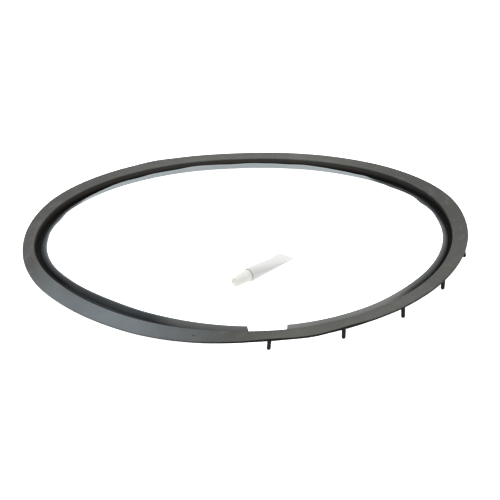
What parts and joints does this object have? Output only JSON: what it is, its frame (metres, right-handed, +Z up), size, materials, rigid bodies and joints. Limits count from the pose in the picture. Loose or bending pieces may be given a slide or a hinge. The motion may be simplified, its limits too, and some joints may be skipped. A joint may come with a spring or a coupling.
{
  "type": "door seal kit",
  "caption": "Large round rubber seal with a flat flange, channel, thin inner lip and push-in pegs, and a small screw-cap paste tube inside it.",
  "frame": {"origin": "on the surface that the kit stands on, at the ring's centre", "axes": "+Z up, along the ring's axis; the lip's notch and the first peg are at -Y"},
  "size_m": [0.57, 0.57, 0.0195],
  "materials": {
    "seal_rubber": "satin moulded rubber",
    "lip_rubber": "softer satin rubber",
    "peg_rubber": "black moulded rubber",
    "sleeve_plastic": "soft white satin plastic",
    "shoulder_plastic": "white moulded plastic",
    "membrane_foil": "thin foil",
    "paste": "smooth pale paste",
    "liner_foam": "foamed plastic disc",
    "cap_plastic": "warm white moulded plastic"
  },
  "bodies": {
    "seal": {"seal_carrier": "seal_rubber", "sealing_lip": "lip_rubber", "peg_01": "peg_rubber", "peg_02": "peg_rubber", "peg_03": "peg_rubber", "peg_04": "peg_rubber", "peg_05": "peg_rubber", "peg_06": "peg_rubber", "peg_07": "peg_rubber", "peg_08": "peg_rubber", "peg_09": "peg_rubber", "peg_10": "peg_rubber", "peg_11": "peg_rubber", "peg_12": "peg_rubber", "peg_13": "peg_rubber", "peg_14": "peg_rubber", "peg_15": "peg_rubber", "peg_16": "peg_rubber", "peg_17": "peg_rubber", "peg_18": "peg_rubber"},
    "tube": {"tube_sleeve": "sleeve_plastic", "tube_shoulder": "shoulder_plastic", "nozzle_membrane": "membrane_foil", "paste_filling": "paste"},
    "cap_slider": {"cap_liner": "liner_foam"},
    "cap": {"screw_cap": "cap_plastic"}
  },
  "joints": [
    {"name": "tube_lift", "type": "slide", "parent": "seal", "child": "tube", "axis": [0, 0, 1], "range_m": [0, 0.15]},
    {"name": "cap_travel", "type": "slide", "parent": "tube", "child": "cap_slider", "axis": [-0.7218, -0.6921, 0], "range_m": [0, 0.0046]},
    {"name": "cap_turn", "type": "hinge", "parent": "cap_slider", "child": "cap", "pos_m": [-0.0015, -0.0712, 0.0095], "axis": [-0.7218, -0.6921, 0], "range_deg": [0, 1080]}
  ],
  "couplings": [
    {"joint": "cap_travel", "follows": "cap_turn", "m_per_rad": 0.00023873}
  ]
}
